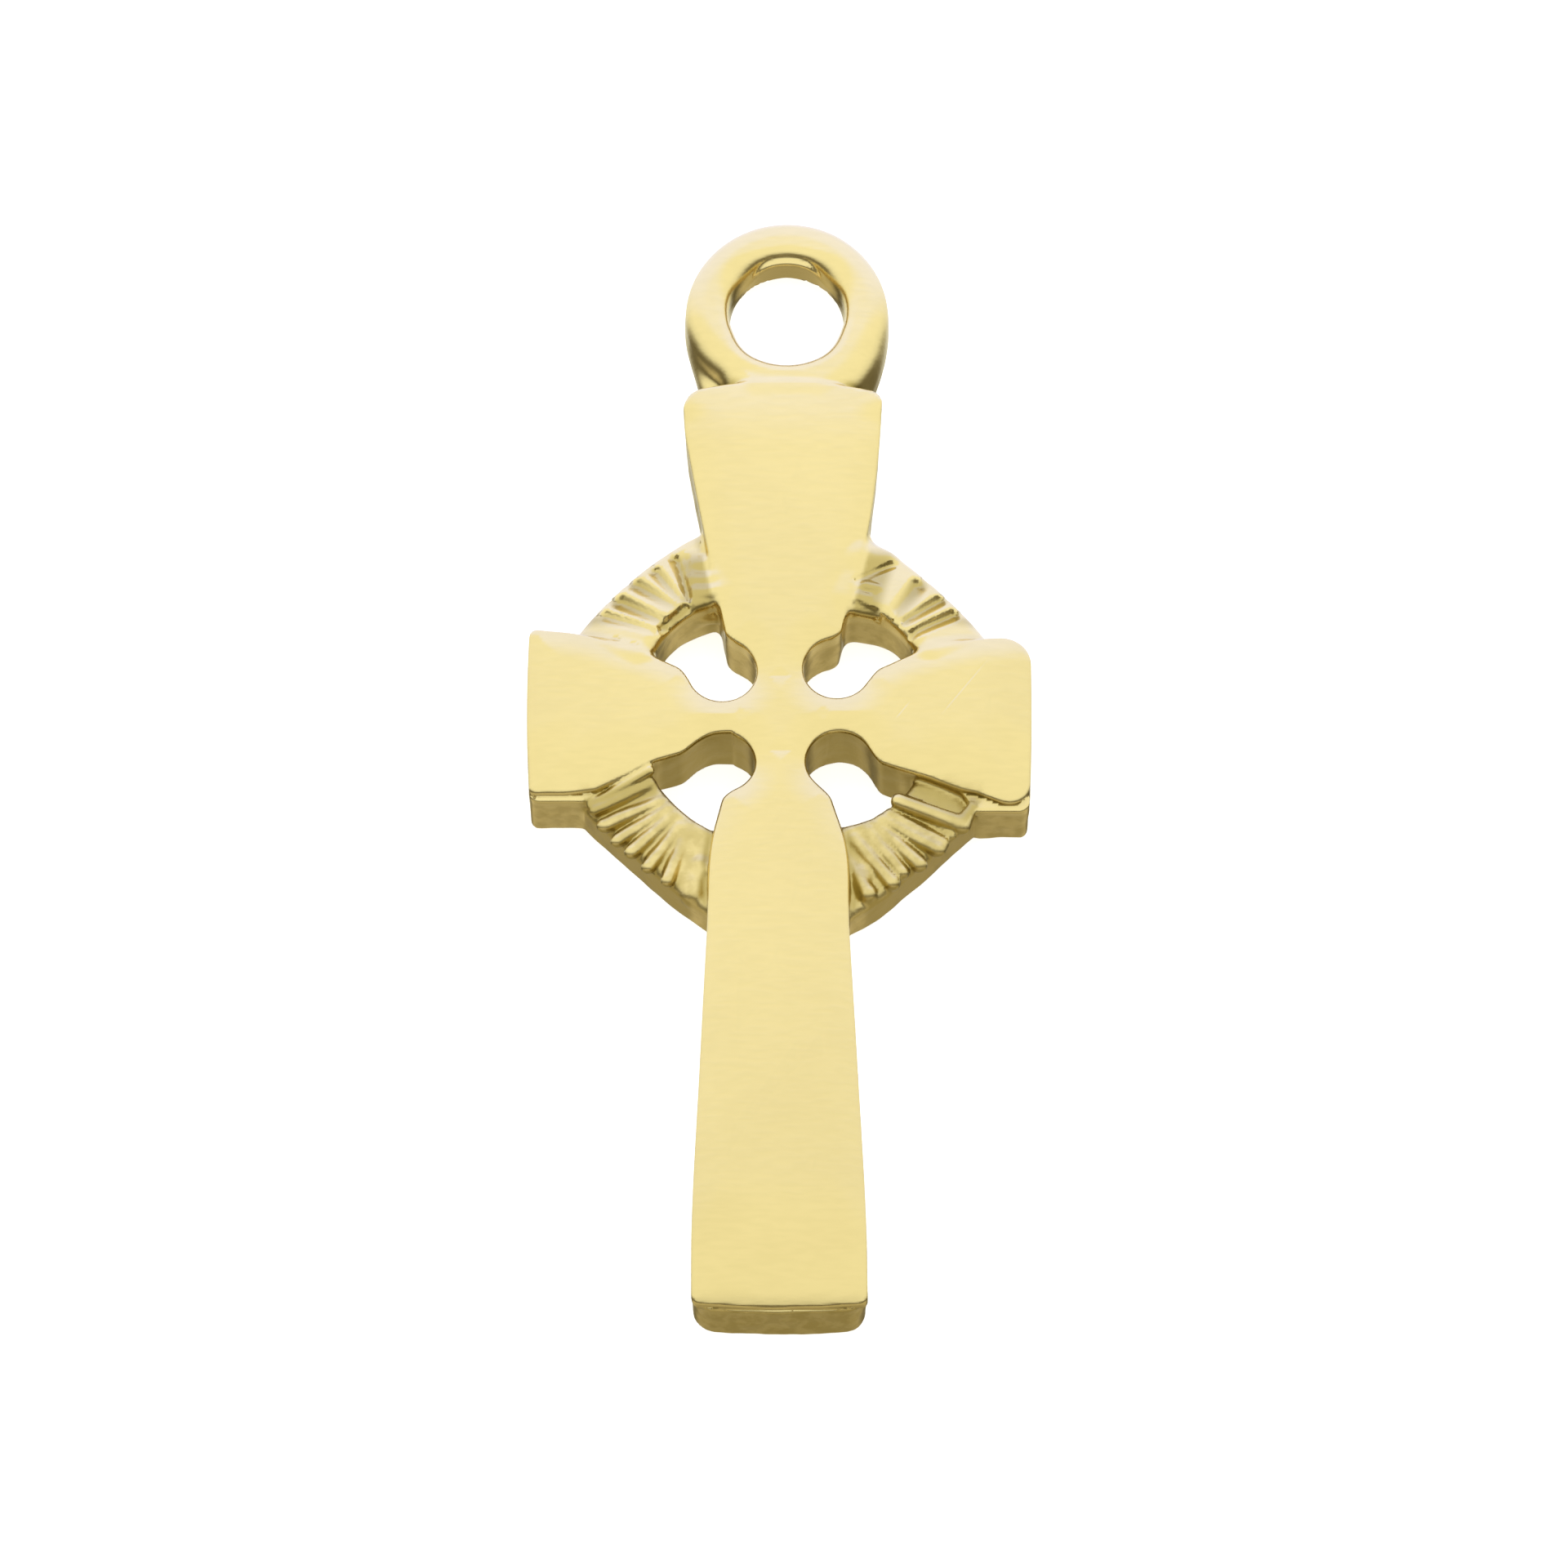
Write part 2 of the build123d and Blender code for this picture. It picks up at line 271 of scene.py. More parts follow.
@labelled
class CrossSizes(bpy.types.PropertyGroup):
    """The flared cross."""

    thickness: length(HIGH.z, "Back to front")
    head_reach: length(6.80, "Crossing to the middle of the head's top edge")
    foot_reach: length(11.93, "Crossing to the foot")
    left_reach: length(4.54, "Crossing to the left arm's tip")
    right_reach: length(4.45, "Crossing to the right arm's tip")
    head_width: length(3.58, "Across the head at its top edge")
    foot_width: length(3.20, "Across the shaft at the foot")
    arm_width: length(3.42, "Across each side arm at its tip")
    wall_draft: angle(2.5, "How much the walls lean in towards the back")
    front_round: length(0.07, "Radius of the edge round the front")
    foot_round: length(0.05, "Radius of the front's edge at the foot")
    back_round: length(0.07, "Radius of the edge round the back")
    head_roll_length: length(1.40, "Where the front begins to roll at the head")
    head_roll_drop: length(0.10, "How far the front drops at the head")
    roll_reach: length(0.60, "How far in the front's edge is rolled")
    roll_drop: length(0.095, "How far the rolled edge drops")
    foot_roll_length: length(2.60, "Where the front begins to roll at the foot")
    foot_roll_drop: length(0.35, "How far the front drops at the foot")
    tip_roll_length: length(0.50, "Where it rolls faster at the foot's tip")
    tip_roll_drop: length(0.09, "How far it drops there")
    arm_roll_length: length(1.50, "Where the front begins to roll on the side arms")
    arm_roll_drop: length(0.20, "How far the front drops there")
    ledge_drop: length(0.29, "Front to the ledge under the side arms")
    foot_ledge_drop: length(0.460, "Front to the ledge at the foot")
    ledge_inset: length(0.050, "How far the front stands back above the ledge")
    ledge_round: length(0.06, "Radius of the ledge's edge")
    bay_offset: length(1.00, "Crossing to the bays' middles, along and across")
    bay_radius: length(0.60, "Radius of the bays in the crossing's corners")
    shoulder_round: length(0.22, "Radius where a bay runs into an arm's flank")


@labelled
class RingSizes(bpy.types.PropertyGroup):
    """The ring behind the arms, with its ribs and grooves."""

    outer_radius: length(4.20, "Rim of the ring where it meets the arms")
    flat_radius: length(3.83, "Rim of the ring in the middle of each quarter")
    inner_radius: length(2.56, "Bore of the ring")
    low_height: length(1.11, "Ring's height at its bore in the lower quarters")
    low_fall: length(0.22, "How much lower the rim is there")
    high_height: length(1.36, "Ring's height at its bore in the upper quarters")
    high_fall: length(0.25, "How much lower the rim is there")
    rim_lean: amount(0.03, "How much the rim leans in at the back, as a slope")
    rim_round: length(0.16, "Radius of the rim's edges")
    low_bore_round: length(0.14, "Radius of the bore's edges in the lower quarters")
    high_bore_round: length(0.30, "Radius of the bore's edges in the upper quarters")
    rib_radius: length(0.13, "Radius of a middling rib")
    rib_rise: length(0.20, "How far its outer end stands above the ring")
    rib_blend: length(0.07, "How softly ribs run into the ring")
    groove_width: length(0.40, "Across a middling groove")
    groove_depth: length(0.110, "How deep its outer end is")
    low_blend: length(0.08, "How softly ring and arms join in the lower quarters")
    high_blend: length(0.22, "How softly they join in the upper quarters")


@labelled
class LoopSizes(bpy.types.PropertyGroup):
    """The loop drawn out of the head."""

    bore_radius: length(1.03, "Radius of the hole at its sides")
    bore_drop: length(0.08, "How much farther down its lower edge is")
    wall: length(0.77, "Hole to rim")
    height_share: amount(1.09, "How much taller than round its upper half is")
    shift: length(0.09, "How far it stands to the right of the middle")
    lift: length(0.12, "Back of the cross to the loop's back, at the head")
    lift_slope: amount(0.02, "How fast the loop's back rises, as a slope")
    leg_pull: amount(0.113, "How fast the web's sides draw together")
    rim_round: length(0.38, "Radius of the front edge of the rim")
    back_round: length(0.20, "Radius of the back edge of the rim")
    bore_round: length(0.22, "Radius of the hole's edges near the head")
    bore_roll: length(0.46, "Radius of the hole's edges at its upper sides")
    step_width: length(0.10, "Across the step inside the top of the hole")
    step_drop: length(0.14, "How far the step lies below the crest")
    blend: length(0.08, "How softly the loop and the head run together")
    right_fullness: amount(0.78, "How round its lower right is, at most one")
    neck_width: length(2.10, "Across the neck between the loop and the head")
    neck_blend: length(0.25, "How softly the neck runs into the loop")
    web_height: length(0.78, "Height of the web at the neck's left")
    web_rise: length(0.10, "How much higher the web is on the right")
    web_round: length(0.30, "Radius of the web's front edge")
    web_blend: length(0.14, "How softly the loop runs into the web")


@labelled
class GoldLook(bpy.types.PropertyGroup):
    """Polished yellow gold with a little of the caster's skin left, and painted shade in the hollows."""

    tone: colour((0.92, 0.77, 0.38), "Colour of the polished gold")
    # The tone that painted shade darkens the gold towards, which also colours the cast skin's mottle and
    # the specks.
    hollow_tone: colour((0.54, 0.43, 0.155), "Colour deep in the hollows")
    polish: share(0.24, "Roughness of the polished front")
    skin: share(0.36, "Roughness in the hollows and on the walls")
    grain_depth: length(0.003, "Height of the fine grain of the polish")
    skin_depth: length(0.012, "Height of the fine grain of the cast skin")
    scratch_depth: length(0.006, "Depth of the hairline scratches")


@labelled
class StudioLook(bpy.types.PropertyGroup):
    """A white surface under a wide soft light."""

    floor_tone: colour((0.90, 0.90, 0.90), "Colour of the surface")
    floor_glow: share(0.85, "Light of its own, so that it stays pale")
    overhead: colour((1.03, 1.03, 0.93), "Light from above")
    headward: colour((1.02, 1.08, 1.60), "Light low beyond the head")
    gap: colour((0.10, 0.085, 0.05), "The dark gap low on the foot's side")
    below: colour((0.50, 0.445, 0.30), "What the walls see below them")
    beyond: amount(0.20, "How much paler the surface beyond the pendant is")
    field: length(27.87, "What the square picture spans")
    view_elevation: angle(61.3, "Camera above the surface, seen from the foot")
    view_distance: length(200.0, "Camera to pendant")


def rows(columns, table):
    """A table's rows as dictionaries by column."""
    return [dict(zip(columns, values)) for values in table]


def both(entry, name):
    """The two values of a table's entry that go with its inner end and its outer end."""
    return [entry[name + "_in"], entry[name + "_out"]]


def in_millimetres(sizes):
    """The lengths of a group in millimetres, and its other values as they are."""
    values = {}
    for key, kind in sizes.bl_rna.properties.items():
        if kind.type == "FLOAT":
            values[key] = getattr(sizes, key) / (MM if kind.unit == "LENGTH" else 1.0)
    return SimpleNamespace(**values)


def between(first, second, part):
    """The value this part of the way from the first to the second."""
    return first + (second - first) * part


def round_max(a, b, radius):
    """Where two depths overlap, with their shared edge rounded."""
    outside = np.hypot(np.maximum(a + radius, 0.0), np.maximum(b + radius, 0.0))
    return np.minimum(np.maximum(a, b) + radius, 0.0) + outside - radius


def soft_min(a, b, blend):
    """Two depths joined, with a fillet of about this size in the corner between them."""
    lean = np.clip(0.5 + 0.5 * (b - a) / blend, 0.0, 1.0)
    return b + (a - b) * lean - blend * lean * (1.0 - lean)


def ramp(value, start, end):
    """From nothing before start to one after end, with no corner."""
    part = np.clip((value - start) / (end - start), 0.0, 1.0)
    return part * part * (3.0 - 2.0 * part)


def smooth_line(place, stations, values):
    """A smooth curve through the values at their stations, straight beyond its ends, and its slope."""
    stations, values = np.asarray(stations), np.asarray(values)
    slopes = np.gradient(values, stations)
    held = np.clip(place, stations[0], stations[-1])
    index = np.clip(np.searchsorted(stations, held) - 1, 0, len(stations) - 2)
    span = stations[index + 1] - stations[index]
    part = (held - stations[index]) / span
    rise = part * part * (3.0 - 2.0 * part)
    curve = between(values[index], values[index + 1], rise)
    curve += span * part * (1.0 - part) ** 2 * slopes[index]
    curve -= span * part**2 * (1.0 - part) * slopes[index + 1]
    slope = np.interp(held, stations, slopes)
    return curve + slope * (place - held), slope


def arm_depth(name, layer, sizes, x, y):
    """The depth of an arm's front or body, seen from the front."""
    shape = dict(zip(ARM_COLUMNS, ARM_SHARES[name]))
    reach = getattr(sizes, name + "_reach")
    half = getattr(sizes, name + "_width", sizes.arm_width) / 2.0
    heading = math.radians(shape["heading"])
    cosine, sine = round(math.cos(heading)), round(math.sin(heading))
    along, across = x * cosine + y * sine, x * sine - y * cosine
    flanks = rows(FLANK_COLUMNS, FLANK_SHARES[name])
    stations = [reach * flank["station"] for flank in flanks]
    tip = along - reach + reach * shape["bow"] * (across / half) ** 2
    if layer == "front":
        tip = tip + sizes.ledge_inset * shape["ledge_tip"]
    near_tip = ramp(along, 0.71 * reach, 0.79 * reach)
    sides = []
    for side, outward in (("left", -across), ("right", across)):
        line, slope = smooth_line(along, stations, [half * flank[side] for flank in flanks])
        ledge = shape["ledge_" + side]
        if ledge:
            edge = line - sizes.ledge_inset if layer == "front" else half * ledge
            line = between(line, edge, near_tip)
        flank_depth = (outward - line) / np.sqrt(1.0 + slope**2)
        sides.append(round_max(flank_depth, tip, half * shape[layer + "_" + side]))
    return np.maximum(np.maximum(*sides), sizes.bay_offset / 2.0 - along)


def outline_depth(layer, sizes, x, y):
    """The depth of the whole cross's front or body, seen from the front, with its bays."""
    depth = np.maximum(np.abs(x), np.abs(y)) - sizes.bay_offset
    for name in ARM_SHARES:
        depth = np.minimum(depth, arm_depth(name, layer, sizes, x, y))
    for bay in rows(BAY_COLUMNS, BAY_SHARES.values()):
        away = np.hypot(x - sizes.bay_offset * bay["across"], y - sizes.bay_offset * bay["along"])
        depth = round_max(depth, sizes.bay_radius * bay["radius"] - away, sizes.shoulder_round)
    return depth


def cross_depth(sizes, front, body, x, y, z):
    """The depth of the cross: drafted walls, a rolled front and a ledge below it."""
    head_end = ramp(y, 5.9, 6.5)
    foot_end = ramp(-y, 10.4, sizes.foot_reach)
    low_on_arm = ramp(np.abs(x), 2.2, 3.0) * ramp(-y, 0.0, 1.6) * ramp(y, -2.6, -2.2)
    near_edge = np.clip(1.0 + front / sizes.roll_reach, 0.0, 1.0) * (1.0 - 0.9 * head_end)
    on_arm = np.clip(1.0 + front / sizes.arm_roll_length, 0.0, 1.0)
    on_foot = np.maximum(sizes.foot_roll_length - sizes.foot_reach - y, 0.0) / sizes.foot_roll_length
    on_tip = np.clip(1.0 - (sizes.foot_reach + y) / sizes.tip_roll_length, 0.0, 1.0)
    on_head = np.maximum(1.0 + (y - sizes.head_reach) / sizes.head_roll_length, 0.0)
    edge_drop = sizes.roll_drop * (1.0 + 0.5 * foot_end) * near_edge**2
    foot_drop = sizes.foot_roll_drop * on_foot**2.2 + sizes.tip_roll_drop * on_tip**2
    arm_drop = sizes.arm_roll_drop * low_on_arm * on_arm**2
    top = sizes.thickness - np.sqrt(edge_drop**2 + foot_drop**2 + arm_drop**2)
    top = top - sizes.head_roll_drop * on_head**2
    draft = (sizes.thickness - z) * math.tan(sizes.wall_draft)
    at_foot = ramp(-y, sizes.foot_reach - sizes.foot_roll_length, sizes.foot_reach)
    ledge_height = sizes.thickness - sizes.ledge_drop - (sizes.foot_ledge_drop - sizes.ledge_drop) * at_foot
    edge_round = between(sizes.front_round, sizes.foot_round, at_foot)
    face = round_max(front + draft, z - top, edge_round)
    face = np.maximum(face, ledge_height - FACE_SINK - z)
    ledge = round_max(body + draft, z - ledge_height, sizes.ledge_round)
    return round_max(np.minimum(face, ledge), -z, sizes.back_round)


def bar_depth(start, end, start_radius, end_radius, x, y, z):
    """The depth of a round-ended bar that may grow thicker along its length."""
    dx, dy, dz = x - start[0], y - start[1], z - start[2]
    step = np.subtract(end, start)
    part = np.clip((dx * step[0] + dy * step[1] + dz * step[2]) / step.dot(step), 0.0, 1.0)
    away = np.sqrt((dx - part * step[0]) ** 2 + (dy - part * step[1]) ** 2 + (dz - part * step[2]) ** 2)
    return away - start_radius - part * (end_radius - start_radius)


def polar(heading, radius, height):
    """A point at this heading, in degrees from +X, and radius about the crossing."""
    turn = math.radians(heading)
    return (radius * math.cos(turn), radius * math.sin(turn), height)


def reaches(x, y, start, end, margin):
    """Whether any of these places lies within the margin of the box round a bar."""
    for places, a, b in ((x, start[0], end[0]), (y, start[1], end[1])):
        if places.max() < min(a, b) - margin or places.min() > max(a, b) + margin:
            return False
    return True


def ring_top(sizes, radius, y):
    """The height of the ring, greater in the upper quarters and falling away to the rim."""
    part = np.clip((radius - sizes.inner_radius) / (sizes.flat_radius - sizes.inner_radius), 0.0, 1.1)
    low = sizes.low_height - sizes.low_fall * part
    high = sizes.high_height - sizes.high_fall * part**1.5
    return between(low, high, ramp(y, -0.6, 0.6))


def quarter(shares, x, y):
    """The share for the quarter that each place is in."""
    upper = np.where(x > 0.0, shares["upper_right"], shares["upper_left"])
    lower = np.where(x > 0.0, shares["lower_right"], shares["lower_left"])
    return np.where(y > 0.0, upper, lower)


def bore_share(x, y):
    """How wide the ring's bore is at each place's heading, as a share of its radius."""
    headings, shares = zip(*BORE_SHARES)
    turn = np.clip(np.degrees(np.arctan2(y, x)) % 360.0, headings[0], headings[-1])
    return smooth_line(turn, headings, shares)[0]


def rib_ends(sizes, rib):
    """The two ends of a rib's axis, and the rib's radius at each."""
    ends = []
    for side in ("in", "out"):
        thick = sizes.rib_radius * rib["width_" + side]
        radius = between(sizes.inner_radius, sizes.flat_radius, rib["reach_" + side])
        radius -= thick / 2.0 if side == "out" else 0.0
        heading = rib["heading_" + side]
        top = float(ring_top(sizes, radius, math.sin(math.radians(heading))))
        ends.append((polar(heading, radius, top + sizes.rib_rise * rib["rise_" + side] - thick), thick))
    (start, start_radius), (end, end_radius) = ends
    return start, end, start_radius, end_radius


def furrow(start, end, widths, heights, x, y):
    """The height of a lump or dent drawn out from start to end; a dent is steeper on its foot side."""
    run_x, run_y = end[0] - start[0], end[1] - start[1]
    run = math.hypot(run_x, run_y)
    part = ((x - start[0]) * run_x + (y - start[1]) * run_y) / run**2
    beside = ((x - start[0]) * run_y - (y - start[1]) * run_x) / run
    foot_side = 1.0 if run_x < 0.0 else -1.0
    near, far = DENT_SIDES if heights[1] < 0.0 else (1.0, 1.0)
    held = np.clip(part, 0.0, 1.0)
    width = between(*widths, held) * np.where(beside * foot_side > 0.0, near, far)
    past = np.maximum(np.maximum(-part, part - 1.0), 0.0) * run / width
    fall = np.clip(1.0 - (beside / width) ** 2 - past**2, 0.0, 1.0)
    return between(*heights, held) * fall**2


def upper_relief(sizes, x, y):
    """The height of the upper ring's grooves, lumps and dents, above or below its plain top."""
    height = 0.0
    for groove in rows(RIB_COLUMNS, GROOVES):
        ends = []
        for heading, reach in zip(both(groove, "heading"), both(groove, "reach")):
            radius = between(sizes.inner_radius, sizes.flat_radius, reach)
            ends.append(polar(heading, radius, 0.0)[:2])
        if reaches(x, y, *ends, CLOSE):
            widths = [sizes.groove_width / 2.0 * width for width in both(groove, "width")]
            heights = [-sizes.groove_depth * rise for rise in both(groove, "rise")]
            height = height + furrow(*ends, widths, heights, x, y)
    for mark in rows(MARK_COLUMNS, MARKS):
        if reaches(x, y, *both(mark, "place"), WIDE):
            widths, heights = both(mark, "width"), both(mark, "height")
            height = height + furrow(*both(mark, "place"), widths, heights, x, y)
    return height


def ring_depth(sizes, x, y, z):
    """The depth of the ring with its ribs standing up and its grooves cut in."""
    radius = np.hypot(x, y)
    openness = (2.0 * x * y / np.maximum(radius, TINY) ** 2) ** 2
    flat = sizes.flat_radius * quarter(RIM_SHARES, x, y)
    rim = between(sizes.outer_radius, flat, openness)
    top = ring_top(sizes, radius, y) + upper_relief(sizes, x, y)
    bore_round = between(sizes.low_bore_round, sizes.high_bore_round, y > 0.0)
    depth = round_max(radius - rim + (top - z) * sizes.rim_lean, z - top, sizes.rim_round)
    depth = round_max(depth, -z, sizes.rim_round)
    depth = round_max(depth, sizes.inner_radius * bore_share(x, y) - radius, bore_round)
    for rib in rows(RIB_COLUMNS, RIBS):
        bar = rib_ends(sizes, rib)
        if reaches(x, y, bar[0], bar[1], WIDE):
            depth = soft_min(depth, bar_depth(*bar, x, y, z), sizes.rib_blend)
    return depth


def loop_depth(sizes, thickness, x, y, z):
    """The depth of the loop: a ring, a neck and a lower web to the head, the hole and its step."""
    middle = HIGH.y - sizes.bore_radius - sizes.wall
    side = np.abs(x - sizes.shift)
    away = np.hypot(side, y - middle)
    below = np.maximum(middle - y, 0.0)
    above = np.maximum(y - middle, 0.0)
    right = ramp(x - sizes.shift, 0.0, 1.0)
    rim = sizes.bore_radius + sizes.wall
    bore = sizes.bore_radius + sizes.bore_drop * ramp(below, 0.3, 1.0)
    stations, heights = zip(*CREST)
    top = np.minimum(smooth_line(y, stations, heights)[0], thickness)
    back = sizes.lift + sizes.lift_slope * (y - stations[1])
    fullness = between(1.0, sizes.right_fullness, right)
    round_part = np.hypot(side, above / sizes.height_share + below * fullness)
    legs = np.where(y > middle, round_part, side + sizes.leg_pull * below**2)
    web_top = sizes.web_height + sizes.web_rise * right
    rim_round = sizes.rim_round + 0.12 * ramp(below, 0.0, 0.8)
    neck = np.maximum(side - sizes.neck_width / 2.0, y - middle + sizes.bore_radius)
    plate = round_max(soft_min(round_part - rim, neck, sizes.neck_blend), z - top, rim_round)
    web = round_max(legs - rim + WEB_INSET, z - web_top, sizes.web_round)
    plate = round_max(soft_min(plate, web, sizes.web_blend), back - z, sizes.back_round)
    plate = np.maximum(plate, stations[0] - y)
    upness = (y - middle) / np.maximum(away, TINY)
    at_top = ramp(upness, 0.70, 1.0)
    step_width = sizes.step_width * at_top
    rolled = ramp(upness, -0.1, 0.8) * (1.0 - 0.7 * at_top)
    bore_round = between(sizes.bore_round, sizes.bore_roll, rolled)
    depth = round_max(plate, bore + step_width - away, bore_round - step_width / 2.0)
    sunk = sizes.step_drop + STEP_SINK * (1.0 - at_top)
    step = round_max(bore - away, z - top + sunk, STEP_ROUND * sizes.step_width)
    step = np.maximum(np.maximum(step, away - bore - 2.0 * sizes.step_width), back + sizes.back_round - z)
    return soft_min(depth, step, STEP_BLEND * sizes.step_width)


def waves(count, longest, shortest, seed):
    """Plane waves with random headings: where each runs, and where it starts."""
    dice = np.random.default_rng(seed)
    headings = dice.normal(size=(count, 3))
    headings /= np.linalg.norm(headings, axis=1)[:, None]
    lengths = np.geomspace(longest, shortest, count)
    return headings * (2.0 * math.pi / lengths)[:, None], dice.uniform(0.0, 2.0 * math.pi, count)


FILED = waves(count=5, longest=4.5, shortest=2.0, seed=11)
CAST = waves(count=12, longest=1.1, shortest=0.28, seed=5)


def rippled(kind, x, y, z):
    """The height of a skin made of waves, about -1 to 1, with the shorter waves lower."""
    headings, starts = kind
    total = 0.0
    for index, ((along_x, along_y, along_z), start) in enumerate(zip(headings, starts)):
        total = total + np.sin(along_x * x + along_y * y + along_z * z + start) / (1.0 + 0.25 * index)
    return total / 2.5


def unpolished(sizes, x, y, z, facing=0.0):
    """How much of the caster's skin is left: the walls, and the ring's front in the lower quarters."""
    low_ring = ramp(-y, -0.6, 0.3) * (1.0 - ramp(np.hypot(x, y), 3.8, 4.1))
    start = SKIN_START - LOW_SKIN_RISE * low_ring
    below_front = ramp(sizes.cross.thickness - z, start, start + SKIN_SPAN)
    # Up-facing skin is worn away by the polisher.
    wear_and_painted_shade = ramp(facing, 0.35, 0.75) * (1.0 - low_ring)
    on_loop = ramp(y, 6.4, 6.9)
    return below_front * (1.0 - wear_and_painted_shade) * (1.0 - on_loop)


def painted_shade_patches(sizes, points, outward):
    """Painted shade: in corners and dents, and on the walls of the bays, the rim and the loop's hole."""
    x, y, _ = points.T
    hole_middle = HIGH.y - sizes.loop.bore_radius - sizes.loop.wall
    measures = {
        "past_front": outline_depth("front", sizes.cross, x, y),
        "headward": y,
        "sideways": np.abs(x),
        "radius": np.hypot(x, y),
        "from_hole": np.hypot(x - sizes.loop.shift, y - hole_middle),
        "facing": outward[:, 2],
    }
    # Painted shade in the upper ring's grooves and dents, where they face up and lie past the front.
    dent = np.clip(-upper_relief(sizes.ring, x, y) / sizes.ring.groove_depth, 0.0, 1.0)
    dent = dent * ramp(measures["past_front"], 0.0, 0.08) * ramp(measures["facing"], 0.3, 0.6)
    deepest = DENT_SHADE * dent * (y > 0.0)
    for tone, *spans in SHADE_PATCHES.values():
        for measure, start, end in spans:
            tone = tone * ramp(measures[measure], start, end)
        deepest = np.maximum(deepest, tone)
    return deepest


def small_bars(table, x, y, z):
    """The depth of each bar of a table that reaches these places, and how softly it runs out."""
    for bar in rows(BAR_COLUMNS, table):
        if reaches(x, y, *both(bar, "place"), WIDE):
            yield bar_depth(*both(bar, "place"), *both(bar, "radius"), x, y, z), bar["blend"]


def pendant_depth(sizes, x, y, z):
    """The depth of everything below the skin: negative in the metal, positive outside it."""
    front = outline_depth("front", sizes.cross, x, y)
    body = outline_depth("body", sizes.cross, x, y)
    depth = cross_depth(sizes.cross, front, body, x, y, z)
    if reaches(x, y, *RING_BOX, CLOSE):
        ring = sizes.ring
        by_left_flank = (x < 0.0) * ramp(y, 2.0, 2.8)
        raised = ramp(y, 0.2, 1.2) * (1.0 - 0.75 * by_left_flank)
        blend = between(ring.low_blend, ring.high_blend, raised) * ramp(front, -0.45, -0.05)
        depth = soft_min(depth, ring_depth(ring, x, y, z), blend + LEAST_BLEND)
    loop = loop_depth(sizes.loop, sizes.cross.thickness, x, y, z)
    depth = soft_min(depth, loop, sizes.loop.blend * ramp(front, -0.5, -0.05) + LEAST_BLEND)
    for lump, blend in small_bars(LEFT_METAL, x, y, z):
        depth = soft_min(depth, lump, blend)
    for cut, blend in small_bars(CUTS, x, y, z):
        depth = -soft_min(-depth, cut, blend)
    depth = np.maximum(depth, z - sizes.cross.thickness - FRONT_LIMIT)
    rough = unpolished(sizes, x, y, z) * (1.0 - 0.4 * ramp(y, 0.0, 1.0))
    depth = depth + FILED_HEIGHT * rippled(FILED, x, y, z) + CAST_HEIGHT * rough * rippled(CAST, x, y, z)
    return np.maximum(depth, -z)


def spaced(stops):
    """Places from the first stop to the last, with the given step between each two stops."""
    places = [np.array([stops[0][0]])]
    for (start, step), (end, _) in zip(stops, stops[1:]):
        count = max(1, round((end - start) / step))
        places.append(np.linspace(start, end, count + 1)[1:])
    return np.concatenate(places)


def grid_places(fine):
    """Where the depth is read: close together at the relief, wider apart along the shaft."""
    edge = 3.0 * fine
    xs = spaced([(LOW.x - edge, fine), (HIGH.x + edge, 0)])
    stops = [(place, share_of_finest * fine) for place, share_of_finest in GRID_STOPS]
    ys = spaced([(LOW.y - edge, fine), *stops, (HIGH.y + 2.0 * edge, 0)])
    zs = spaced([(-edge, fine), (HIGH.z + edge, 0)])
    return xs, ys, zs


def depth_grid(sizes, places, block=48):
    """The depth at every place of the grid, worked out block by block."""
    xs, ys, zs = places
    grid = np.empty([len(axis) for axis in places])
    for i, j in product(range(0, len(xs), block), range(0, len(ys), block)):
        x = xs[i : i + block, None, None]
        y = ys[None, j : j + block, None]
        grid[i : i + block, j : j + block] = pendant_depth(sizes, x, y, zs[None, None, :])
    return grid


def skin_cells(grid, tile=24):
    """The cells that the skin passes through, tile by tile, and a grid of their numbers."""
    inside = grid < 0.0
    corners = [inside[i : i - 1 or None, j : j - 1 or None, k : k - 1 or None] for i, j, k in CORNERS]
    count = sum(corner.astype(np.int8) for corner in corners)
    cells = np.argwhere((count > 0) & (count < 8))
    cells = cells[np.lexsort((cells[:, 1] // tile, cells[:, 0] // tile))]
    number = np.full(count.shape, -1)
    number[tuple(cells.T)] = np.arange(len(cells))
    return cells, number


CORNERS = list(product((0, 1), repeat=3))


def skin_points(grid, places, cells):
    """For each cell, the middle of the points where the skin crosses its edges."""
    total = np.zeros((len(cells), 3))
    count = np.zeros(len(cells))
    for axis in range(3):
        for first in CORNERS:
            if first[axis]:
                continue
            second = list(first)
            second[axis] = 1
            low, high = (cells + first).T, (cells + second).T
            depth_low, depth_high = grid[tuple(low)], grid[tuple(high)]
            crossed = (depth_low < 0.0) != (depth_high < 0.0)
            part = np.where(crossed, depth_low / np.where(crossed, depth_low - depth_high, 1.0), 0.0)
            start, end = [np.stack([places[n][at[n]] for n in range(3)], axis=1) for at in (low, high)]
            total += np.where(crossed[:, None], start + part[:, None] * (end - start), 0.0)
            count += crossed
    return total / count[:, None]


def skin_quads(grid, number):
    """A quad round each edge of the grid that the skin crosses, facing out of the metal."""
    inside = grid < 0.0
    quads = []
    for axis in range(3):
        side, up = (axis + 1) % 3, (axis + 2) % 3
        ahead = np.roll(inside, -1, axis)
        for enters in (False, True):
            crossed = (inside & ~ahead) if not enters else (~inside & ahead)
            at = np.argwhere(crossed)
            at = at[at[:, axis] < grid.shape[axis] - 1]
            ring = []
            for back_side, back_up in ((1, 1), (0, 1), (0, 0), (1, 0)):
                cell = at.copy()
                cell[:, side] -= back_side
                cell[:, up] -= back_up
                ring.append(number[tuple(cell.T)])
            quad = np.stack(ring, axis=1)
            quads.append(quad[:, ::-1] if enters else quad)
    return np.concatenate(quads)


